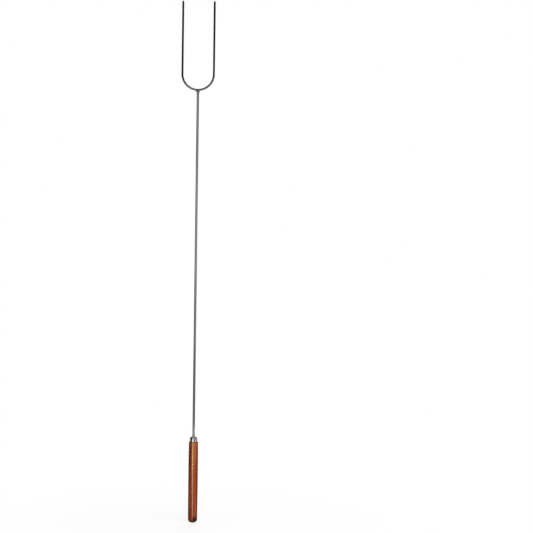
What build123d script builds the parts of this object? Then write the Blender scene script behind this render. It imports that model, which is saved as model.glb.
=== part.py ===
from build123d import *
import os
from math import cos, radians, sin, sqrt, tan

# Two-tined roasting fork for a camp fire: a wire fork welded to a long steel rod, whose
# tang is driven into a turned wooden handle behind a pressed steel ferrule.
#
# Millimetres. The fork is held upright by its handle: +Z runs along the rod from the butt
# to the tips, X runs across the two tines and -Y is the front. The origin is on the rod's
# axis, at the middle of the grip.

# ---- Driving dimensions ----

# Handle, turned from hardwood: a straight grip that eases to both ends.
handle_length = 161.4
grip_from_butt = 92.1          # middle of the grip, from the butt's crown
grip_length = 56.0
grip_diameter = 18.8
front_diameter = 18.0
butt_diameter = 18.2
butt_crown = 6.25              # height of the rounded butt
front_rounding = 0.8

# Ferrule, a cup pressed from sheet steel.
ferrule_length = 9.4
ferrule_diameter = 14.6
ferrule_wall = 0.6
ferrule_shoulder = 3.0         # outer radius of the cup's rounded end
ferrule_hole_clearance = 0.15
tenon_clearance = 0.1
tenon_end_gap = 0.3

# Stakes, dents punched through the cup's side into the wood to hold it.
stake_count = 4
stake_from_mouth = 4.4
stake_ball_radius = 2.6
stake_depth = 0.75

# Rod, drawn steel wire of 3/16 in.
rod_length = 759.4
rod_diameter = 4.76
tang_length = 60.0             # driven into the wood, behind the handle's front face
tang_chamfer = 0.8

# Wings, where the tang is squeezed flat so that it can't turn or pull out.
wing_width = 5.8
wing_thickness = 3.3
wing_length = 14.0
wing_from_end = 8.0            # round stretch between the tang's end and the wings
bore_clearance = 0.1
bore_end_gap = 3.0
drill_point_angle = 118.0

# Stop, a pinch in front of the ferrule that keeps it home.
stop_from_ferrule = 4.3
stop_ball_radius = 3.0
stop_depth = 0.45
stop_ear = 0.3                 # how far the pinched metal stands out at each side
stop_ear_inset = 0.2           # the ears' round is this much smaller than the rod's

# Fork, one length of 5/32 in wire bent to a U.
wire_diameter = 4.0
tine_spacing = 62.8            # between the tines' axes
tine_length = 146.9            # straight part, with its point
point_length = 3.2
nose_radius = 0.9

# Weld between the rod's end and the bottom of the U.
weld_root_gap = 0.3
weld_leg = 6.5                 # flare along the wire, each side of the rod
weld_reach = 8.0               # run down the rod from the wire's axis
weld_toe = 0.15                # thickness where it ends on the rod
weld_closing = 3.0             # height over which its front and back round in to the wire
weld_top_inset = 0.6           # its top ends this far inside the wire's front and back
weld_steps = 7

# ---- Sizes and heights that follow ----

grip_radius = grip_diameter / 2
rod_radius = rod_diameter / 2
wire_radius = wire_diameter / 2
bend_radius = tine_spacing / 2
ferrule_radius = ferrule_diameter / 2
cup_radius = ferrule_radius - ferrule_wall
cup_round = ferrule_shoulder - ferrule_wall
tenon_radius = cup_radius - tenon_clearance

butt_z = -grip_from_butt
face_z = butt_z + handle_length
ferrule_z = face_z + ferrule_length
ferrule_round_z = ferrule_z - ferrule_shoulder
tenon_z = ferrule_z - ferrule_wall - tenon_end_gap
stop_z = ferrule_z + stop_from_ferrule
tang_z = face_z - tang_length
wing_z = tang_z + wing_from_end
rod_end_z = tang_z + rod_length
bottom_z = rod_end_z + weld_root_gap + wire_radius
bend_z = bottom_z + bend_radius
tip_z = bend_z + tine_length


def turned(outline):
    """A solid turned about the Z axis. The outline is half of it, as radius and height."""
    return revolve(Plane.XZ * make_face(outline), axis=Axis.Z)


def upright_bar(section, low_z, high_z):
    """A flat section drawn out along the rod's direction."""
    return extrude(Plane.XY.offset(low_z) * section, amount=high_z - low_z)


def oval_across(half_width, radius):
    """An egg-shaped solid that lies along X, round in its other two directions."""
    half_oval = split(Ellipse(half_width, radius), bisect_by=Plane.XZ)
    return revolve(half_oval, axis=Axis.X)


def around_rod(shape, count, first_angle=45.0):
    """Copies of a shape, evenly spaced about the Z axis."""
    return [Rot(0, 0, first_angle + turn * 360 / count) * shape for turn in range(count)]


# ---- Handle ----

def make_bore():
    """Drilled hole for the tang, with the grooves that the wings cut going in."""
    bore_radius = rod_radius + bore_clearance
    bore_z = tang_z - bore_end_gap
    point_z = bore_z - bore_radius / tan(radians(drill_point_angle / 2))
    hole = Polyline(
        (0, point_z), (bore_radius, bore_z), (bore_radius, ferrule_z), (0, ferrule_z), close=True
    )
    groove = SlotOverall(wing_width + 2 * bore_clearance, wing_thickness + 2 * bore_clearance)
    return turned(hole) + upright_bar(groove, wing_z - bore_clearance, ferrule_z)


def make_handle():
    """Turned barrel with a crowned butt and a tenon for the ferrule, drilled for the tang."""
    front_radius = front_diameter / 2
    butt_radius = butt_diameter / 2
    half_grip = grip_length / 2
    crown_z = butt_z + butt_crown
    tenon_round = tenon_z - ferrule_round_z

    crown = EllipticalCenterArc((0, crown_z), butt_radius, butt_crown, start_angle=270)
    back = TangentArc((grip_radius, -half_grip), (butt_radius, crown_z), tangent=(0, -1))
    grip = Line((grip_radius, -half_grip), (grip_radius, half_grip))
    front = TangentArc(grip @ 1, (front_radius, face_z - front_rounding), tangent=(0, 1))
    edge = TangentArc(front @ 1, (front_radius - front_rounding, face_z), tangent=front % 1)
    tenon = Polyline(edge @ 1, (tenon_radius, face_z), (tenon_radius, ferrule_round_z))
    tenon_edge = RadiusArc(tenon @ 1, (tenon_radius - tenon_round, tenon_z), -tenon_round)
    middle = Polyline(tenon_edge @ 1, (0, tenon_z), (0, butt_z))
    barrel = turned([crown, back, grip, front, edge, tenon, tenon_edge, middle])
    dent = stake_ball(stake_ball_radius + ferrule_wall + tenon_clearance)
    return barrel - make_bore() - around_rod(dent, stake_count)


# ---- Ferrule ----

def stake_ball(radius):
    """A ball about the place where the punch stops in the side of the cup."""
    centre_x = ferrule_radius - stake_depth + stake_ball_radius
    return Pos(centre_x, 0, face_z + stake_from_mouth) * Sphere(radius)


def make_ferrule():
    """Pressed cup over the tenon, holed for the rod and staked into the wood."""
    hole_radius = rod_radius + ferrule_hole_clearance
    inside_z = ferrule_z - ferrule_wall
    end_radius = ferrule_radius - ferrule_shoulder

    side = Line((ferrule_radius, face_z), (ferrule_radius, ferrule_round_z))
    outer_round = RadiusArc(side @ 1, (end_radius, ferrule_z), -ferrule_shoulder)
    end = Polyline(
        outer_round @ 1, (hole_radius, ferrule_z), (hole_radius, inside_z), (end_radius, inside_z)
    )
    inner_round = RadiusArc(end @ 1, (cup_radius, ferrule_round_z), cup_round)
    mouth = Polyline(inner_round @ 1, (cup_radius, face_z), side @ 0)
    cup = turned([side, outer_round, end, inner_round, mouth])

    inside = upright_bar(Circle(ferrule_radius - ferrule_wall / 2), face_z, ferrule_round_z)
    bump = stake_ball(stake_ball_radius + ferrule_wall) & inside
    cup += around_rod(bump, stake_count)
    cup -= around_rod(stake_ball(stake_ball_radius), stake_count)
    return cup


# ---- Rod ----

def make_squeeze():
    """The metal pressed away from the tang's front and back at the wings."""
    depth = rod_radius - wing_thickness / 2
    slab = Box(rod_diameter, depth, wing_length, align=(Align.CENTER, Align.MIN, Align.MIN))
    back = Pos(0, wing_thickness / 2, wing_z) * slab
    return [back, mirror(back, about=Plane.XZ)]


def make_stop_dents():
    """Two ball dents, front and back, pinched into the rod."""
    centre_y = rod_radius - stop_depth + stop_ball_radius
    back = Pos(0, centre_y, stop_z) * Sphere(stop_ball_radius)
    return [back, mirror(back, about=Plane.XZ)]


def make_rod():
    """Straight rod: winged tang, pinched stop, plain shaft and a square-cut end."""
    bar = upright_bar(Circle(rod_radius), tang_z, rod_end_z)
    bar = chamfer(bar.edges().sort_by(Axis.Z)[0], tang_chamfer)
    bar -= make_squeeze()
    bar += upright_bar(SlotOverall(wing_width, wing_thickness), wing_z, wing_z + wing_length)
    bar += Pos(0, 0, stop_z) * oval_across(rod_radius + stop_ear, rod_radius - stop_ear_inset)
    bar -= make_stop_dents()
    return bar


# ---- Fork ----

def make_tine(side):
    """One straight tine with a short ground point and a blunt nose."""
    shank = Polyline(
        (0, bend_z),
        (wire_radius, bend_z),
        (wire_radius, tip_z - point_length),
        (nose_radius, tip_z - nose_radius),
    )
    nose = RadiusArc(shank @ 1, (0, tip_z), -nose_radius)
    middle = Line(nose @ 1, shank @ 0)
    return Pos(side * bend_radius, 0, 0) * turned([shank, nose, middle])


def make_bend():
    """The half ring that joins the tines."""
    section = Plane.XY.offset(bend_z) * Pos(bend_radius, 0) * Circle(wire_radius)
    return revolve(section, axis=Axis((0, 0, bend_z), (0, 1, 0)), revolution_arc=180)


def make_fork():
    """One wire: two tines and the bend between them."""
    return make_bend() + make_tine(1) + make_tine(-1)


# ---- Weld ----

def make_weld(fork, rod):
    """Bead between the rod's end and the U, less the metal of both.

    A hollow flare of oval sections. It widens along the wire on a quarter ellipse, and at
    the top its front and back round in, so that its edge closes on the wire.
    """
    toe_radius = rod_radius + weld_toe
    top_radius = wire_radius - weld_top_inset
    sections = []
    for step in range(weld_steps + 1):
        angle = radians(90 * step / weld_steps)
        drop = weld_reach * (1 - sin(angle))
        closing = max(0.0, 1 - drop / weld_closing)
        across = toe_radius + weld_leg * (1 - cos(angle))
        deep = top_radius + (toe_radius - top_radius) * sqrt(1 - closing**2)
        sections.append(Plane.XY.offset(bottom_z - drop) * Ellipse(across, deep))
    return loft(sections) - fork - rod


rod = make_rod()
tine_fork = make_fork()
parts = {
    "handle": make_handle(),
    "ferrule": make_ferrule(),
    "rod": rod,
    "tine_fork": tine_fork,
    "weld_bead": make_weld(tine_fork, rod),
}

os.makedirs("parts", exist_ok=True)
for name, solid in parts.items():
    export_step(solid, f"parts/{name}.step")
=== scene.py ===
from math import cos, radians, sin, sqrt

import bmesh
import bpy
from mathutils import Matrix, Vector, noise


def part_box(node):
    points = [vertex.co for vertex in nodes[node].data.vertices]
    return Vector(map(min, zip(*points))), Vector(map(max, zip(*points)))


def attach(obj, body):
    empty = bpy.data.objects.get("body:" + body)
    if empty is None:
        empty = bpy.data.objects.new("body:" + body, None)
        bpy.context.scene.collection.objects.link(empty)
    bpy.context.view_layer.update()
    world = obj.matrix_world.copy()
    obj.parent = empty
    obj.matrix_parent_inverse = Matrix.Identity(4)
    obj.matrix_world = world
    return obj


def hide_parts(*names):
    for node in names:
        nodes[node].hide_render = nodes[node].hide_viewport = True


# A two-tined roasting fork, held upright: a plated wire fork welded to a plated rod, with a
# bright pressed ferrule and a stained, lacquered wooden handle. Metres, Z up, front at -Y.
#
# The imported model's meshes are faceted, and mirror-bright metal and lacquer show each facet.
# This script models the handle, ferrule, rod and fork again with smooth faces, soft edges and
# the same sizes, and roughens a copy of the weld bead. It gives each piece its finish, and
# sets up the studio and the camera.

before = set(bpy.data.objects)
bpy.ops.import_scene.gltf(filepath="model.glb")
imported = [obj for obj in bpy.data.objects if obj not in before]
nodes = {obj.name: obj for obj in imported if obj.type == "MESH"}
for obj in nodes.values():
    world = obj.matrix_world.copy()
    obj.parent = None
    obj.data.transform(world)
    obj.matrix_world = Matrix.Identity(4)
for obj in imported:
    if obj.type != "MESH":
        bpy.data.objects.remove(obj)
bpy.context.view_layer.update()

handle_low, handle_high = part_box("handle")
ferrule_low, ferrule_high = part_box("ferrule")
rod_low, rod_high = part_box("rod")
fork_low, fork_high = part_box("tine_fork")

millimetre = 0.001

# Handle
grip_radius = handle_high.y
grip_length = 56.0 * millimetre
butt_radius = 9.1 * millimetre
butt_crown = 6.25 * millimetre
front_radius = 9.0 * millimetre
front_rounding = 0.8 * millimetre
face_z = ferrule_low.z

# Ferrule
ferrule_radius = ferrule_high.y
ferrule_wall = 0.6 * millimetre
ferrule_shoulder = 3.0 * millimetre
ferrule_hole_clearance = 0.15 * millimetre
ferrule_edge = 0.1 * millimetre
shoulder_z = ferrule_high.z - ferrule_shoulder
tenon_clearance = 0.1 * millimetre
tenon_radius = ferrule_radius - ferrule_wall - tenon_clearance

# Stakes, the dents that hold the ferrule
stake_count = 4
stake_z = face_z + 4.4 * millimetre
stake_ball_radius = 2.6 * millimetre
stake_depth = 0.75 * millimetre
first_stake_angle = 45.0
dent_softness = 0.12 * millimetre       # of the rims of the stakes and of the stop

# Rod
rod_radius = rod_high.y
tang_chamfer = 0.8 * millimetre
wing_width = 2 * rod_high.x
wing_thickness = 3.3 * millimetre
wing_low_z = rod_low.z + 8.0 * millimetre
wing_high_z = wing_low_z + 14.0 * millimetre
wing_run_out = 0.4 * millimetre         # from the wings' ends back to the round rod

# Stop, the pinch above the ferrule
stop_z = ferrule_high.z + 4.3 * millimetre
stop_ball_radius = 3.0 * millimetre
stop_depth = 0.45 * millimetre
stop_ear = 0.3 * millimetre             # how far the pinched metal stands out at each side
stop_reach = 0.8 * stop_ball_radius     # how far up and down the rod swells

# Bore in the handle, with grooves for the wings
bore_clearance = 0.1 * millimetre
bore_radius = rod_radius + bore_clearance
bore_low_z = rod_low.z - 3.0 * millimetre
bore_point = 1.5 * millimetre           # height of the cone that the drill leaves
groove_low_z = wing_low_z - bore_clearance

# Fork
wire_radius = 2.0 * millimetre
bend_radius = fork_high.x - wire_radius
bend_z = fork_low.z + wire_radius + bend_radius
point_length = 3.2 * millimetre
point_z = fork_high.z - point_length
nose_radius = 0.9 * millimetre

# Weld bead's skin
even_face_size = 0.1 * millimetre
lump_height = 0.22 * millimetre
lumps_per_metre = 420
ripple_height = 0.07 * millimetre
ripples_per_metre = 1300
bead_rim = 0.35 * millimetre            # the lumps fade over this much, to the rod and wire
smoothing_passes = 3

merge_distance = 0.0005 * millimetre


# ---- Nodes ----

def feed(tree, socket, value):
    """Sets an input to a value, or links another node's output to it."""
    if isinstance(value, bpy.types.NodeSocket):
        tree.links.new(value, socket)
    else:
        socket.default_value = value


def add_node(tree, kind, inputs, **settings):
    """A new node with its settings and its inputs."""
    made = tree.nodes.new(kind)
    for name, value in settings.items():
        setattr(made, name, value)
    for name, value in inputs.items():
        feed(tree, made.inputs[name], value)
    return made


def calculate(tree, operation, *values):
    """The result of a Math node."""
    made = add_node(tree, "ShaderNodeMath", dict(enumerate(values)), operation=operation)
    return made.outputs["Value"]


def remap(tree, value, low, high, to_low=0.0, to_high=1.0):
    """A value moved smoothly from one range to another, and kept within it."""
    made = add_node(
        tree,
        "ShaderNodeMapRange",
        {"Value": value, "From Min": low, "From Max": high, "To Min": to_low, "To Max": to_high},
        interpolation_type="SMOOTHSTEP",
    )
    return made.outputs["Result"]


def blend_colours(tree, amount, first, second):
    """Two colours mixed by an amount from 0 to 1."""
    made = add_node(tree, "ShaderNodeMix", {}, data_type="RGBA")
    inputs = {socket.identifier: socket for socket in made.inputs}
    outputs = {socket.identifier: socket for socket in made.outputs}
    feed(tree, inputs["Factor_Float"], amount)
    feed(tree, inputs["A_Color"], first)
    feed(tree, inputs["B_Color"], second)
    return outputs["Result_Color"]


def split(tree, vector):
    """The X, Y and Z of a vector."""
    return add_node(tree, "ShaderNodeSeparateXYZ", {"Vector": vector}).outputs


def combine(tree, x, y, z):
    """A vector of three values."""
    made = add_node(tree, "ShaderNodeCombineXYZ", {"X": x, "Y": y, "Z": z})
    return made.outputs["Vector"]


def length(tree, vector):
    """How long a vector is."""
    made = add_node(tree, "ShaderNodeVectorMath", {0: vector}, operation="LENGTH")
    return made.outputs["Value"]


def vector_sum(tree, first, second, scale):
    """A vector plus another, whose three values are scaled first."""
    made = add_node(
        tree, "ShaderNodeVectorMath", {0: second, 1: scale, 2: first}, operation="MULTIPLY_ADD"
    )
    return made.outputs["Vector"]


def add_noise(tree, vector, density, detail):
    """A noise texture with about this many specks to the metre along each axis."""
    scaled = add_node(tree, "ShaderNodeMapping", {"Vector": vector, "Scale": density})
    return add_node(
        tree,
        "ShaderNodeTexNoise",
        {"Vector": scaled.outputs["Vector"], "Scale": 1.0, "Detail": detail},
    )


def speckle(tree, vector, density, detail):
    """The value of a noise texture."""
    return add_noise(tree, vector, density, detail).outputs["Fac"]


def object_position(tree):
    """The position on the piece itself, in metres."""
    return tree.nodes.new("ShaderNodeTexCoord").outputs["Object"]


def new_group(name, inputs, outputs):
    """An empty node group with its sockets, and its input and output nodes."""
    tree = bpy.data.node_groups.new(name, "ShaderNodeTree")
    for socket_name, socket_type in inputs:
        tree.interface.new_socket(socket_name, in_out="INPUT", socket_type=socket_type)
    for socket_name, socket_type in outputs:
        tree.interface.new_socket(socket_name, in_out="OUTPUT", socket_type=socket_type)
    return tree, tree.nodes.new("NodeGroupInput"), tree.nodes.new("NodeGroupOutput")


def blank_material(name):
    """A material that has only an output, with its tree."""
    material = bpy.data.materials.new(name)
    material.use_nodes = True
    tree = material.node_tree
    tree.nodes.clear()
    return material, tree, tree.nodes.new("ShaderNodeOutputMaterial")


def new_material(name):
    """A material with one Principled BSDF, and its tree and shader."""
    material, tree, output = blank_material(name)
    shader = tree.nodes.new("ShaderNodeBsdfPrincipled")
    tree.links.new(shader.outputs["BSDF"], output.inputs["Surface"])
    return material, tree, shader


# ---- Shared effects ----

def make_drawn_plating():
    """Plating over drawn wire: fine lines along the wire, soft clouds and a few rubs."""
    group, given, result = new_group(
        "drawn_plating",
        [
            ("Vector", "NodeSocketVector"),
            ("Bright", "NodeSocketColor"),
            ("Dull", "NodeSocketColor"),
            ("Roughness", "NodeSocketFloat"),
            ("Line Depth", "NodeSocketFloat"),
        ],
        [
            ("Color", "NodeSocketColor"),
            ("Roughness", "NodeSocketFloat"),
            ("Normal", "NodeSocketVector"),
        ],
    )
    where = given.outputs["Vector"]
    lines = speckle(group, where, density=(3200, 3200, 14), detail=3.0)
    clouds = speckle(group, where, density=(160, 160, 28), detail=3.0)
    rubs = speckle(group, where, density=(1100, 1100, 260), detail=2.0)
    rubbed = remap(group, rubs, 0.62, 0.74)

    # duller in the clouds and along the lines
    dull = calculate(group, "MULTIPLY", remap(group, clouds, 0.35, 0.7), 0.65)
    dull = calculate(group, "MULTIPLY_ADD", lines, 0.35, dull)
    colour = blend_colours(group, dull, given.outputs["Bright"], given.outputs["Dull"])
    group.links.new(colour, result.inputs["Color"])

    # rougher along the lines, in the clouds and where it is rubbed
    rough = calculate(group, "MULTIPLY_ADD", lines, 0.6, 0.35)
    rough = calculate(group, "MULTIPLY_ADD", clouds, 0.7, rough)
    rough = calculate(group, "MULTIPLY_ADD", rubbed, 0.5, rough)
    rough = calculate(group, "MULTIPLY", rough, given.outputs["Roughness"])
    group.links.new(rough, result.inputs["Roughness"])

    bump = add_node(
        group,
        "ShaderNodeBump",
        {"Height": lines, "Strength": given.outputs["Line Depth"], "Distance": 0.02 * millimetre},
    )
    group.links.new(bump.outputs["Normal"], result.inputs["Normal"])
    return group


drawn_plating = make_drawn_plating()


def plate(tree, shader, vector, bright, dull, roughness, line_depth):
    """Feeds a metal's shader from the drawn plating."""
    plating = tree.nodes.new("ShaderNodeGroup")
    plating.node_tree = drawn_plating
    feed(tree, plating.inputs["Vector"], vector)
    feed(tree, plating.inputs["Bright"], bright)
    feed(tree, plating.inputs["Dull"], dull)
    feed(tree, plating.inputs["Roughness"], roughness)
    feed(tree, plating.inputs["Line Depth"], line_depth)
    tree.links.new(plating.outputs["Color"], shader.inputs["Base Color"])
    tree.links.new(plating.outputs["Roughness"], shader.inputs["Roughness"])
    tree.links.new(plating.outputs["Normal"], shader.inputs["Normal"])
    shader.inputs["Metallic"].default_value = 1.0


# ---- Metals ----

def make_rod_plating():
    """The rod: bright plating over drawn wire, its lines straight up, dull in the pinch."""
    material, tree, shader = new_material("rod_plating")
    where = object_position(tree)
    place = split(tree, where)
    above_stop = calculate(tree, "SUBTRACT", place["Z"], stop_z)
    off_stop = length(tree, combine(tree, place["X"], 0.0, above_stop))
    roughness = remap(
        tree, off_stop, 1.2 * millimetre, 2.6 * millimetre, to_low=0.59, to_high=0.14
    )
    bright = (0.50, 0.495, 0.48, 1)
    dull = (0.42, 0.415, 0.40, 1)
    plate(tree, shader, where, bright, dull, roughness, line_depth=0.15)
    return material


def along_the_wire(tree, where):
    """The wire's own position: out from its axis, front to back, and along its length."""
    x, y, z = split(tree, where)
    above = calculate(tree, "SUBTRACT", z, bend_z)
    below = calculate(tree, "MINIMUM", above, 0.0)
    straight = calculate(tree, "MAXIMUM", above, 0.0)
    from_centre = length(tree, combine(tree, x, 0.0, below))
    outward = calculate(tree, "SUBTRACT", from_centre, bend_radius)
    turn = calculate(tree, "ARCTAN2", x, calculate(tree, "MULTIPLY", below, -1.0))
    along = calculate(tree, "MULTIPLY", turn, bend_radius)
    along = calculate(tree, "MULTIPLY_ADD", straight, calculate(tree, "SIGN", x), along)
    return combine(tree, outward, y, along)


def make_wire_plating():
    """The bent wire: the same plating, its lines along the wire, dull on the ground points."""
    material, tree, shader = new_material("wire_plating")
    where = object_position(tree)
    height = split(tree, where)["Z"]
    blur = 0.2 * millimetre
    roughness = remap(
        tree, height, point_z - blur, point_z + blur, to_low=0.14, to_high=0.40
    )
    bright = (0.48, 0.47, 0.45, 1)
    dull = (0.40, 0.39, 0.37, 1)
    plate(tree, shader, along_the_wire(tree, where), bright, dull, roughness, line_depth=0.08)
    return material


def make_ferrule_plating():
    """The ferrule: bright plating on pressed sheet, with faint lines up its side."""
    material, tree, shader = new_material("ferrule_plating")
    bright = (0.76, 0.75, 0.735, 1)
    dull = (0.68, 0.67, 0.65, 1)
    plate(tree, shader, object_position(tree), bright, dull, roughness=0.06, line_depth=0.12)
    return material


def make_weld_plating():
    """The weld bead: plating over rough weld metal, in uneven patches."""
    material, tree, shader = new_material("weld_plating")
    bright = (0.62, 0.61, 0.59, 1)
    dull = (0.42, 0.41, 0.39, 1)
    plate(tree, shader, object_position(tree), bright, dull, roughness=0.28, line_depth=0.3)
    return material


# ---- Wood ----

# The light streak down the handle's front, and the fainter streaks beside it: where a
# streak's middle is, how far it reaches to each side, and how much lighter it makes the wood.
# The middles are places on the wandering grain, and lie about 2 mm further left on the handle.
golden_middle = 1.7 * millimetre
golden_half_width = 2.7 * millimetre
side_streaks = (
    (-5.0 * millimetre, 3.0 * millimetre, 0.02),
    (5.9 * millimetre, 2.2 * millimetre, 0.08),
    # this one makes the wood darker towards the front's right edge
    (9.4 * millimetre, 2.6 * millimetre, -0.12),
)
streak_drift = 0.012                    # how far they move to the right, for each metre down
grain_wander = (0.004, 0.004, 0.0)

# The stain's colours from the dark to the light grain.
stain_colours = (
    (0.34, (0.150, 0.022, 0.006, 1)),
    (0.47, (0.270, 0.045, 0.011, 1)),
    (0.60, (0.400, 0.085, 0.019, 1)),
    (0.82, (0.540, 0.240, 0.060, 1)),
)
pore_colour = (0.045, 0.012, 0.006, 1)
# darker end grain, and painted shade on the handle's front edge
end_grain_and_shade_colour = (0.055, 0.016, 0.009, 1)
# painted shade for the butt's lower right
butt_shade_colour = (0.030, 0.010, 0.006, 1)


def wandering_grain(tree, where):
    """The position, moved a little from side to side along the handle."""
    drift = add_noise(tree, where, density=(40, 40, 9), detail=2.0)
    return vector_sum(tree, where, drift.outputs["Color"], scale=grain_wander)


def front_streak(tree, grain, middle, half_width):
    """1 on a streak down the handle's front, and 0 beside it and behind."""
    x, y, z = split(tree, grain)
    above_face = calculate(tree, "SUBTRACT", z, face_z)
    undrifted = calculate(tree, "MULTIPLY_ADD", above_face, streak_drift, x)
    off = calculate(tree, "ABSOLUTE", calculate(tree, "SUBTRACT", undrifted, middle))
    near = remap(tree, off, half_width * 0.3, half_width, to_low=1.0, to_high=0.0)
    in_front = remap(tree, y, -2.0 * millimetre, 2.0 * millimetre, to_low=1.0, to_high=0.0)
    return calculate(tree, "MULTIPLY", near, in_front)


def growth_rings(tree, grain):
    """Rings about a pith that lies outside the handle."""
    from_pith = add_node(
        tree,
        "ShaderNodeMapping",
        {"Vector": grain, "Location": (0.034, 0.048, 0.0), "Scale": (1, 1, 0.04)},
    )
    rings = add_node(
        tree,
        "ShaderNodeTexWave",
        {"Vector": from_pith.outputs["Vector"], "Scale": 80.0, "Distortion": 2.5, "Detail": 3.0},
        wave_type="RINGS",
        rings_direction="Z",
        wave_profile="SIN",
    )
    return rings.outputs["Fac"]


def grain_tone(tree, grain, height, fibres):
    """How light the grain is: bands, rings, fibres and the streaks down the front."""
    bands = speckle(tree, grain, density=(230, 230, 7), detail=2.0)
    tone = calculate(tree, "MULTIPLY", bands, 0.55)
    tone = calculate(tree, "MULTIPLY_ADD", growth_rings(tree, grain), 0.12, tone)
    tone = calculate(tree, "MULTIPLY_ADD", fibres, 0.38, tone)
    golden = front_streak(tree, grain, golden_middle, golden_half_width)
    faint_z = face_z - 120.0 * millimetre
    strong_z = face_z - 10.0 * millimetre
    golden_strength = remap(tree, height, faint_z, strong_z, to_low=0.02, to_high=0.27)
    tone = calculate(tree, "MULTIPLY_ADD", golden, golden_strength, tone)
    for middle, half_width, strength in side_streaks:
        streak = front_streak(tree, grain, middle, half_width)
        tone = calculate(tree, "MULTIPLY_ADD", streak, strength, tone)
    return tone


def stain(tree, tone):
    """The stain's colour at each tone."""
    made = add_node(tree, "ShaderNodeValToRGB", {"Fac": tone})
    steps = made.color_ramp.elements
    while len(steps) < len(stain_colours):
        steps.new(1.0)
    for step, (position, colour) in zip(steps, stain_colours):
        step.position = position
        step.color = colour
    return made.outputs["Color"]


def cut_ends_and_edge_shade(tree, height):
    """1 where the wood is cut across, at the butt and the front, and 0.8 as painted shade on the
    front's edge.
    """
    geometry = tree.nodes.new("ShaderNodeNewGeometry")
    upright = calculate(tree, "ABSOLUTE", split(tree, geometry.outputs["Normal"])["Z"])
    across = remap(tree, upright, 0.15, 0.7)
    # Painted shade in a band round the front edge, next to the ferrule.
    edge_low_z = face_z - 2.2 * millimetre
    edge_high_z = face_z - 0.6 * millimetre
    front_edge_shade = remap(tree, height, edge_low_z, edge_high_z, to_low=0.0, to_high=0.8)
    return calculate(tree, "MAXIMUM", across, front_edge_shade)


def painted_butt_shade(tree, grain):
    """1 on the front of the butt's lower right: painted shade, where the crown turns from the
    light.
    """
    x, y, z = split(tree, grain)
    butt_shade_low_z = handle_low.z + 8.0 * millimetre
    butt_shade_high_z = handle_low.z + 17.0 * millimetre
    low = remap(tree, z, butt_shade_low_z, butt_shade_high_z, to_low=1.0, to_high=0.0)
    right = remap(tree, x, 0.5 * millimetre, 4.5 * millimetre)
    in_front = remap(tree, y, -3.0 * millimetre, 1.0 * millimetre, to_low=1.0, to_high=0.0)
    return calculate(tree, "MULTIPLY", calculate(tree, "MULTIPLY", low, right), in_front)


def lacquer(tree, shader, height, cut_end_and_edge_shade):
    """Clear lacquer, thin where the butt and the cut ends soaked it up, and on the front edge's
    painted shade.
    """
    soaked_low_z = handle_low.z + 6.0 * millimetre
    soaked_high_z = handle_low.z + 20.0 * millimetre
    soaked = remap(tree, height, soaked_low_z, soaked_high_z, to_low=0.3, to_high=0.0)
    soaked = calculate(tree, "MAXIMUM", calculate(tree, "MULTIPLY", cut_end_and_edge_shade, 0.85), soaked)
    tree.links.new(calculate(tree, "SUBTRACT", 1.0, soaked), shader.inputs["Coat Weight"])
    shader.inputs["Coat Roughness"].default_value = 0.15
    shader.inputs["Coat IOR"].default_value = 1.5
    shader.inputs["Specular IOR Level"].default_value = 0.2


def make_stained_wood():
    """Red-brown stained hardwood under lacquer, with rings, fibres and short dark pores."""
    material, tree, shader = new_material("stained_wood")
    where = object_position(tree)
    height = split(tree, where)["Z"]
    grain = wandering_grain(tree, where)
    fibres = speckle(tree, grain, density=(1700, 1700, 26), detail=4.0)
    pores = speckle(tree, grain, density=(3600, 3600, 210), detail=1.0)
    pore = remap(tree, pores, 0.60, 0.70)

    cut_end_and_edge_shade = cut_ends_and_edge_shade(tree, height)
    butt_shade = painted_butt_shade(tree, grain)
    colour = stain(tree, grain_tone(tree, grain, height, fibres))
    for mask, strength, darker in (
        (pore, 0.6, pore_colour),
        # end grain, and painted shade on the front edge
        (cut_end_and_edge_shade, 0.75, end_grain_and_shade_colour),
        # painted shade at the butt's lower right
        (butt_shade, 0.88, butt_shade_colour),
    ):
        amount = calculate(tree, "MULTIPLY", mask, strength)
        colour = blend_colours(tree, amount, colour, darker)
    tree.links.new(colour, shader.inputs["Base Color"])

    relief = calculate(tree, "SUBTRACT", calculate(tree, "MULTIPLY", fibres, 0.4), pore)
    bump = add_node(
        tree,
        "ShaderNodeBump",
        {"Height": relief, "Strength": 0.35, "Distance": 0.05 * millimetre},
    )
    tree.links.new(bump.outputs["Normal"], shader.inputs["Normal"])
    rough = remap(tree, fibres, 0.3, 0.7, to_low=0.38, to_high=0.52)
    tree.links.new(rough, shader.inputs["Roughness"])
    lacquer(tree, shader, height, cut_end_and_edge_shade)
    return material


# ---- Making meshes ----

def arc(centre, radii, first, last, steps):
    """Points on part of an ellipse, as radius and height, from one angle to another."""
    points = []
    for step in range(steps + 1):
        angle = radians(first + (last - first) * step / steps)
        points.append((centre[0] + radii[0] * cos(angle), centre[1] + radii[1] * sin(angle)))
    return points


def even_steps(first, last, spacing):
    """Values from one to another, about evenly spaced."""
    count = round(abs(last - first) / spacing)
    return [first + (last - first) * step / count for step in range(count + 1)]


def soft_min(first, second, softness):
    """The lesser of two lengths, rounded over where they cross."""
    return (first + second - sqrt((first - second) ** 2 + softness**2)) / 2


def slot_reach(direction, half_width, half_thickness):
    """How far a section with straight sides and round ends reaches in one direction."""
    end_x = half_width - half_thickness
    across, deep = abs(direction.x), abs(direction.y)
    if across * half_thickness <= end_x * deep:
        return half_thickness / deep
    return end_x * across + sqrt(half_thickness**2 - (end_x * deep) ** 2)


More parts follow.
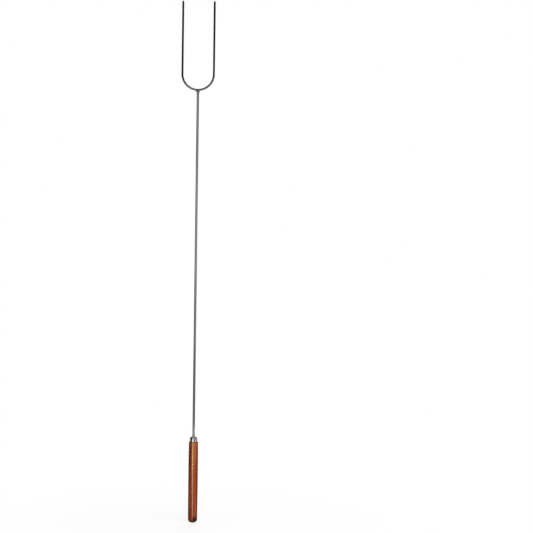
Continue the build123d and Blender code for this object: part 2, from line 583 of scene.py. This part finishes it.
def spin_outline(outline, segments):
    """A mesh turned about the Z axis from an outline of radius and height."""
    bm = bmesh.new()
    verts = [bm.verts.new((radius, 0, height)) for radius, height in outline]
    edges = [bm.edges.new(pair) for pair in zip(verts, verts[1:])]
    bmesh.ops.spin(
        bm, geom=verts + edges, cent=(0, 0, 0), axis=(0, 0, 1), dvec=(0, 0, 0),
        angle=radians(360), steps=segments, use_merge=True, use_duplicate=False,
    )
    bmesh.ops.remove_doubles(bm, verts=bm.verts, dist=merge_distance)
    bmesh.ops.recalc_face_normals(bm, faces=bm.faces)
    return bm


def sharp_edges(bm):
    """The edges where two faces meet at more than 30 degrees."""
    return [edge for edge in bm.edges if edge.calc_face_angle(0.0) > radians(30)]


def soften_edges(bm, width):
    """Rounds the edges where two surfaces meet at an angle."""
    bmesh.ops.bevel(
        bm, geom=sharp_edges(bm), offset=width, segments=3, profile=0.5, affect="EDGES",
        clamp_overlap=True, material=-1,
    )


def press_stakes(bm, surface_radius, ball_radius):
    """Ball dents with soft rims, evenly spaced about one side surface of a turned piece."""
    ball_centre = ferrule_radius - stake_depth + stake_ball_radius
    side = [v for v in bm.verts if abs(v.co.xy.length - surface_radius) < tenon_clearance / 2]
    for stake in range(stake_count):
        angle = first_stake_angle + 360 * stake / stake_count
        turn = Matrix.Rotation(radians(angle), 3, "Z")
        for vertex in side:
            place = turn.inverted() @ vertex.co
            reach = ball_radius**2 - place.y**2 - (place.z - stake_z) ** 2
            if place.x > 0 and reach > 0:
                place.x = soft_min(place.x, ball_centre - sqrt(reach), dent_softness)
                vertex.co = turn @ place


def new_object(name, data):
    """A new object in the scene, at the origin."""
    made = bpy.data.objects.new(name, data)
    bpy.context.scene.collection.objects.link(made)
    return made


def object_from(name, bm, material):
    """An object of a finished mesh with one material."""
    mesh = bpy.data.meshes.new(name)
    bm.to_mesh(mesh)
    bm.free()
    mesh.materials.append(material)
    return new_object(name, mesh)


def finish_piece(name, bm, material, node_name):
    """Makes a piece of a closed mesh, with its finish, in place of a node."""
    for face in bm.faces:
        face.smooth = True
    for edge in sharp_edges(bm):
        edge.smooth = False
    piece = object_from(name, bm, material)
    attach(piece, "root")
    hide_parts(node_name)


# ---- Handle ----

def eased_side(first_z, last_z, first_radius, last_radius, steps=12):
    """Part of the handle's side that leaves the straight grip and eases in to its end."""
    points = []
    for step in range(1, steps + 1):
        share = step / steps
        radius = first_radius + (last_radius - first_radius) * share**2
        points.append((radius, first_z + (last_z - first_z) * share))
    return points


def cut_grooves(bm):
    """Widens the bore, above where the wings stop, to the section that the wings cut."""
    half_width = wing_width / 2 + bore_clearance
    half_thickness = wing_thickness / 2 + bore_clearance
    for vertex in bm.verts:
        off_bore = abs(vertex.co.xy.length - bore_radius)
        if off_bore > bore_clearance / 2 or vertex.co.z < groove_low_z - bore_clearance / 2:
            continue
        reach = slot_reach(vertex.co.xy.normalized(), half_width, half_thickness)
        vertex.co.xy *= max(1.0, reach / bore_radius)


def make_handle(material):
    """The turned barrel, with its butt, front and tenon, drilled and grooved for the tang."""
    crown_z = handle_low.z + butt_crown
    front_z = face_z - front_rounding
    tenon_round = handle_high.z - shoulder_z
    crown = arc((0, crown_z), (butt_radius, butt_crown), -90, 0, steps=20)
    back = eased_side(-grip_length / 2, crown_z, grip_radius, butt_radius)
    front = eased_side(grip_length / 2, front_z, grip_radius, front_radius)
    edge_centre = (front_radius - front_rounding, front_z)
    edge = arc(edge_centre, (front_rounding, front_rounding), 0, 90, steps=8)
    tenon = [(tenon_radius, z) for z in even_steps(face_z, shoulder_z, spacing=0.25 * millimetre)]
    tenon_centre = (tenon_radius - tenon_round, shoulder_z)
    tenon_edge = arc(tenon_centre, (tenon_round, tenon_round), 0, 90, steps=8)
    below_grooves = groove_low_z - 0.1 * millimetre
    bore = [(bore_radius, z) for z in (handle_high.z, groove_low_z, below_grooves, bore_low_z)]

    outline = crown + back[-2::-1]
    outline += [(grip_radius, -grip_length / 2), (grip_radius, grip_length / 2)]
    outline += front + edge[1:] + tenon + tenon_edge[1:] + bore
    outline += [(0, bore_low_z - bore_point)]
    bm = spin_outline(outline, segments=192)
    press_stakes(bm, tenon_radius, stake_ball_radius + ferrule_wall + tenon_clearance)
    cut_grooves(bm)
    finish_piece("turned_handle", bm, material, "handle")


# ---- Ferrule ----

def make_ferrule(material):
    """The pressed cup, holed for the rod and staked at four places."""
    hole_radius = rod_radius + ferrule_hole_clearance
    inner_radius = ferrule_radius - ferrule_wall
    inner_round = ferrule_shoulder - ferrule_wall
    centre = (ferrule_radius - ferrule_shoulder, shoulder_z)
    side = even_steps(face_z, shoulder_z, spacing=0.16 * millimetre)
    outline = [(ferrule_radius, z) for z in side]
    outline += arc(centre, (ferrule_shoulder, ferrule_shoulder), 0, 90, steps=18)[1:]
    outline += [(hole_radius, ferrule_high.z), (hole_radius, ferrule_high.z - ferrule_wall)]
    outline += arc(centre, (inner_round, inner_round), 90, 0, steps=12)
    outline += [(inner_radius, z) for z in side[-2::-1]]
    outline += outline[:1]
    bm = spin_outline(outline, segments=240)
    soften_edges(bm, ferrule_edge)
    press_stakes(bm, inner_radius, stake_ball_radius + ferrule_wall)
    press_stakes(bm, ferrule_radius, stake_ball_radius)
    finish_piece("pressed_ferrule", bm, material, "ferrule")


# ---- Rod ----

def squeeze_wings(bm):
    """Flattens the tang between its two ends, which spreads it to both sides."""
    for vertex in bm.verts:
        if wing_low_z < vertex.co.z < wing_high_z:
            direction = vertex.co.xy.normalized()
            vertex.co.xy = direction * slot_reach(direction, wing_width / 2, wing_thickness / 2)


def pinch_stop(bm):
    """Dents the rod front and back above the ferrule, so that it swells at both sides."""
    ball_centre = rod_radius - stop_depth + stop_ball_radius
    for vertex in bm.verts:
        x, y, z = vertex.co
        off = (z - stop_z) / stop_reach
        if abs(off) >= 1:
            continue
        swell = stop_ear / rod_radius * (1 - off**2) ** 3
        vertex.co.x = x * (1 + swell)
        reach = stop_ball_radius**2 - x**2 - (z - stop_z) ** 2
        if reach > 0:
            side = -1 if y < 0 else 1
            vertex.co.y = side * soft_min(abs(y), ball_centre - sqrt(reach), dent_softness)


def make_rod(material):
    """The rod from its chamfered tang, past its wings and its stop, to its square-cut end."""
    heights = [rod_low.z + tang_chamfer]
    for wing_end_z in (wing_low_z, wing_high_z):
        heights += [wing_end_z - wing_run_out, wing_end_z + wing_run_out]
    stop_low_z = stop_z - stop_ball_radius
    stop_high_z = stop_z + stop_ball_radius
    shaft_low_z = stop_z + 10.0 * millimetre
    heights += even_steps(stop_low_z, stop_high_z, spacing=0.15 * millimetre)
    heights += even_steps(shaft_low_z, rod_high.z, spacing=40.0 * millimetre)
    outline = [(0, rod_low.z), (rod_radius - tang_chamfer, rod_low.z)]
    outline += [(rod_radius, z) for z in heights]
    outline += [(0, rod_high.z)]
    bm = spin_outline(outline, segments=64)
    squeeze_wings(bm)
    pinch_stop(bm)
    finish_piece("drawn_rod", bm, material, "rod")


# ---- Fork ----

def draw_end_up(bm, radius, height):
    """Draws the wire's open end at the side up to a height, with a new radius."""
    end = [e for e in bm.edges if e.is_boundary and e.verts[0].co.x > bend_radius / 2]
    drawn = bmesh.ops.extrude_edge_only(bm, edges=end)["geom"]
    for vertex in drawn:
        if isinstance(vertex, bmesh.types.BMVert):
            out = Vector((vertex.co.x - bend_radius, vertex.co.y)).normalized() * radius
            vertex.co = (bend_radius + out.x, out.y, height)


def make_tine_fork(material):
    """Half the bend, spun from the wire's section, and its tine, and the same mirrored."""
    tip_z = fork_high.z
    bm = bmesh.new()
    section = bmesh.ops.create_circle(bm, segments=48, radius=wire_radius)["verts"]
    bmesh.ops.translate(bm, verts=section, vec=(bend_radius, 0, bend_z))
    bmesh.ops.spin(
        bm, geom=bm.verts[:] + bm.edges[:], cent=(0, 0, bend_z), axis=(0, 1, 0),
        dvec=(0, 0, 0), angle=radians(90), steps=48, use_merge=False, use_duplicate=False,
    )
    shank_z = point_z - 0.2 * millimetre
    for height in even_steps(bend_z, shank_z, spacing=20.0 * millimetre)[1:] + [point_z]:
        draw_end_up(bm, wire_radius, height)
    nose = arc((0, tip_z - nose_radius), (nose_radius, nose_radius), 0, 84, steps=8)
    for radius, height in nose:
        draw_end_up(bm, radius, height)
    draw_end_up(bm, 0.0, tip_z)
    bmesh.ops.mirror(
        bm, geom=bm.verts[:] + bm.edges[:] + bm.faces[:], merge_dist=4 * merge_distance, axis="X"
    )
    bmesh.ops.remove_doubles(bm, verts=bm.verts, dist=merge_distance)
    bmesh.ops.recalc_face_normals(bm, faces=bm.faces)
    finish_piece("bent_fork", bm, material, "tine_fork")


# ---- Weld bead ----

def even_faces(source):
    """A node's mesh, merged and made again with small even faces."""
    bead = new_object("bead", source.data.copy())
    bm = bmesh.new()
    bm.from_mesh(bead.data)
    bmesh.ops.remove_doubles(bm, verts=bm.verts, dist=2 * merge_distance)
    bm.to_mesh(bead.data)
    bm.clear()
    remesh = bead.modifiers.new("even_faces", "REMESH")
    remesh.mode = "VOXEL"
    remesh.voxel_size = even_face_size
    bpy.context.view_layer.update()
    evaluated = bead.evaluated_get(bpy.context.evaluated_depsgraph_get())
    bm.from_mesh(evaluated.to_mesh())
    evaluated.to_mesh_clear()
    old_mesh = bead.data
    bpy.data.objects.remove(bead)
    bpy.data.meshes.remove(old_mesh)
    return bm


def off_the_metal(place):
    """How far a point of the bead stands off the rod and the wire, whichever is nearer."""
    off_rod = place.xy.length - rod_radius
    out_from_bend = Vector((place.x, place.z - bend_z)).length - bend_radius
    off_wire = Vector((out_from_bend, place.y)).length - wire_radius
    return min(off_rod, off_wire)


def make_weld_bead(material):
    """The bead as run metal: the modelled bead with lumps and ripples on its open skin."""
    bm = even_faces(nodes["weld_bead"])
    for _ in range(smoothing_passes):
        bmesh.ops.smooth_vert(
            bm, verts=bm.verts, factor=0.5, use_axis_x=True, use_axis_y=True, use_axis_z=True
        )
    bm.normal_update()
    moves = []
    for vertex in bm.verts:
        free = min(max(off_the_metal(vertex.co) / bead_rim, 0.0), 1.0)
        lump = noise.noise(vertex.co * lumps_per_metre) * lump_height
        ripple = noise.noise(vertex.co * ripples_per_metre) * ripple_height
        moves.append(vertex.normal * ((lump + ripple) * free))
    for vertex, move in zip(bm.verts, moves):
        vertex.co += move
    finish_piece("weld_run", bm, material, "weld_bead")


# ---- Studio ----

white = (1, 1, 1, 1)
surrounding_grey = 0.25
lamp_target_z = 0.43
floor_size = 40.0
floor_colour = (0.95, 0.95, 0.95, 1)
floor_bounce = (0.4, 0.4, 0.4, 1)       # the floor's colour for the light that it sends back

tent_radius = 0.16
tent_height = 1.90
mat_lift = 0.2 * millimetre
strip_lean = 150.0                      # degrees in a metre, of the handle's strip of light
handle_glow = (1.0, 0.74, 0.56, 1)
handle_glow_blur = 3.0 * millimetre
tine_glow = (1.0, 0.70, 0.57, 1)
tine_glow_low_z = bend_z + 20.0 * millimetre
tine_glow_high_z = bend_z + 70.0 * millimetre
# Panels round the tent: the side where each starts, in degrees to the right of the front.
panel_sides = (-180, -94, -41, -31, -14, 17, 52, 90)
panel_blur = 2.0                        # degrees to each side of a panel's edge
# Rows of panels from the floor up: the height where each starts, over how much height it
# takes over, and how bright its panels are. The handle, the ferrule, four stretches of the
# rod and the fork each see a row.
panel_rows = (
    (handle_low.z, 0.0, (0.08, 0.02, 0.10, 8.30, 0.20, 0.10, 0.12, 0.12)),
    (ferrule_low.z - 0.022, 0.006, (0.36, 0.005, 1.00, 1.00, 0.75, 0.28, 0.85, 0.42)),
    (ferrule_low.z + 0.007, 0.006, (0.13, 0.01, 0.50, 0.50, 0.34, 0.15, 0.31, 0.17)),
    (0.25, 0.04, (0.20, 0.01, 0.75, 0.75, 0.50, 0.22, 0.45, 0.25)),
    (0.40, 0.04, (0.28, 0.01, 1.00, 1.00, 0.65, 0.30, 0.55, 0.34)),
    (0.62, 0.10, (0.22, 0.01, 0.78, 0.78, 0.52, 0.23, 0.44, 0.26)),
    (fork_low.z + 0.024, 0.006, (0.015, 0.005, 0.015, 0.015, 0.02, 0.05, 0.15, 0.13)),
)
handle_row_top_z = panel_rows[1][0]     # where the ferrule's row takes over


def seen_directly(tree):
    """1 for what the camera sees, straight or in a mirror or through glass."""
    path = tree.nodes.new("ShaderNodeLightPath")
    seen = calculate(
        tree, "MAXIMUM", path.outputs["Is Camera Ray"], path.outputs["Is Glossy Ray"]
    )
    return calculate(tree, "MAXIMUM", seen, path.outputs["Is Transmission Ray"])


def make_floor():
    """A white floor under the butt that keeps a soft shadow."""
    material, tree, output = blank_material("floor_white")
    seen = seen_directly(tree)
    shade = blend_colours(tree, seen, floor_bounce, floor_colour)
    lit = add_node(tree, "ShaderNodeBsdfDiffuse", {"Color": shade})
    glow = add_node(tree, "ShaderNodeEmission", {"Color": white, "Strength": 1.0})
    from_middle = length(tree, object_position(tree))
    clear = remap(tree, from_middle, low=0.1, high=0.5, to_low=0.8, to_high=1.0)
    share = calculate(tree, "MULTIPLY", seen, clear)
    mixed = add_node(
        tree, "ShaderNodeMixShader", {0: share, 1: lit.outputs["BSDF"], 2: glow.outputs["Emission"]}
    )
    tree.links.new(mixed.outputs["Shader"], output.inputs["Surface"])

    bm = bmesh.new()
    bmesh.ops.create_grid(bm, x_segments=1, y_segments=1, size=floor_size)
    bmesh.ops.translate(bm, verts=bm.verts, vec=(0, 0, handle_low.z))
    floor = object_from("floor", bm, material)


def panel_brightness(tree, x, y, z):
    """How bright the tent's panel is at a place on its wall."""
    side = calculate(tree, "ARCTAN2", x, calculate(tree, "MULTIPLY", y, -1.0))
    side = calculate(tree, "DEGREES", side)
    above_row = calculate(tree, "SUBTRACT", z, handle_row_top_z)
    below_top = calculate(tree, "MINIMUM", above_row, 0.0)
    side = calculate(tree, "MULTIPLY_ADD", below_top, strip_lean, side)
    edges = [
        remap(tree, side, start - panel_blur, start + panel_blur) for start in panel_sides[1:]
    ]
    brightness = 0.0
    for height, reach, levels in panel_rows:
        row = levels[0]
        for edge, before, level in zip(edges, levels, levels[1:]):
            row = calculate(tree, "MULTIPLY_ADD", edge, level - before, row)
        above = remap(tree, z, height - reach / 2, height + reach / 2) if reach else 1.0
        mixed = add_node(tree, "ShaderNodeMix", {"Factor": above, "A": brightness, "B": row})
        brightness = mixed.outputs[0]
    return brightness


def make_panels():
    """The tent's light: warm on the handle and on the tines, white between, dim on the mat."""
    material, tree, output = blank_material("tent_panels")
    x, y, z = split(tree, object_position(tree))
    from_middle = length(tree, combine(tree, x, y, 0.0))
    fade = remap(tree, from_middle, 0.0, tent_radius * 0.9, to_low=0.05, to_high=1.0)
    brightness = calculate(tree, "MULTIPLY", panel_brightness(tree, x, y, z), fade)
    white_low_z = handle_row_top_z - handle_glow_blur
    white_high_z = handle_row_top_z + handle_glow_blur
    above_handle = remap(tree, z, white_low_z, white_high_z)
    colour = blend_colours(tree, above_handle, handle_glow, white)
    beside_tines = remap(tree, z, tine_glow_low_z, tine_glow_high_z)
    colour = blend_colours(tree, beside_tines, colour, tine_glow)
    glow = add_node(tree, "ShaderNodeEmission", {"Color": colour, "Strength": brightness})
    tree.links.new(glow.outputs["Emission"], output.inputs["Surface"])
    material.cycles.emission_sampling = "NONE"
    return material


def make_tent():
    """An open ring of light and dark panels, and a round mat of the same, on the floor.

    Only the polished metal and the lacquer see them.
    """
    bm = bmesh.new()
    bmesh.ops.create_cone(
        bm, cap_ends=False, segments=96, radius1=tent_radius, radius2=tent_radius,
        depth=tent_height,
    )
    bmesh.ops.translate(bm, verts=bm.verts, vec=(0, 0, handle_low.z + tent_height / 2))
    mat = bmesh.ops.create_circle(bm, cap_ends=True, segments=96, radius=tent_radius)["verts"]
    bmesh.ops.translate(bm, verts=mat, vec=(0, 0, handle_low.z + mat_lift))
    tent = object_from("tent", bm, make_panels())
    tent.visible_camera = False
    tent.visible_diffuse = False
    tent.visible_shadow = False
    tent.visible_transmission = False


def add_softbox(name, place, width, height, power):
    """A soft lamp that lights the colours but isn't seen in the metal."""
    lamp = bpy.data.lights.new(name, "AREA")
    lamp.shape = "RECTANGLE"
    lamp.size = width
    lamp.size_y = height
    lamp.energy = power
    softbox = new_object(name, lamp)
    towards_fork = Vector((0, 0, lamp_target_z)) - Vector(place)
    facing = towards_fork.to_track_quat("-Z", "Y")
    softbox.matrix_world = Matrix.LocRotScale(Vector(place), facing, None)
    softbox.visible_camera = False
    softbox.visible_glossy = False


def make_lamps():
    """Three softboxes: above the front, at the right and behind."""
    add_softbox("overhead_softbox", (0.8, -1.6, 2.3), width=2.0, height=1.6, power=46)
    add_softbox("right_softbox", (1.2, -1.7, 0.7), width=0.9, height=1.8, power=18)
    add_softbox("back_softbox", (0.2, 2.0, 1.2), width=1.6, height=1.4, power=30)


def make_world():
    """White where it is seen, and a plain grey for what it lights."""
    world = bpy.data.worlds.new("studio")
    bpy.context.scene.world = world
    world.use_nodes = True
    tree = world.node_tree
    tree.nodes.clear()
    output = tree.nodes.new("ShaderNodeOutputWorld")
    seen = seen_directly(tree)
    strength = calculate(
        tree, "MULTIPLY_ADD", seen, 1.0 - surrounding_grey, surrounding_grey
    )
    background = add_node(tree, "ShaderNodeBackground", {"Color": white, "Strength": strength})
    tree.links.new(background.outputs["Background"], output.inputs["Surface"])


def make_camera():
    """Square to the front, to the right of the fork and about level with its middle."""
    data = bpy.data.cameras.new("camera")
    data.lens = 85
    data.sensor_width = 36
    view_width = 1.0635
    distance = view_width * data.lens / data.sensor_width
    place = Matrix.Translation((0.1412, -distance, 0.4204))
    upright = Matrix.Rotation(radians(90), 4, "X")
    roll = Matrix.Rotation(radians(0.73), 4, "Z")
    camera = new_object("camera", data)
    camera.matrix_world = place @ upright @ roll
    bpy.context.scene.camera = camera
    bpy.context.scene.view_settings.view_transform = "Standard"


# ---- The fork ----

make_camera()
make_world()
make_floor()
make_tent()
make_lamps()

make_handle(make_stained_wood())
make_ferrule(make_ferrule_plating())
make_rod(make_rod_plating())
make_tine_fork(make_wire_plating())
make_weld_bead(make_weld_plating())
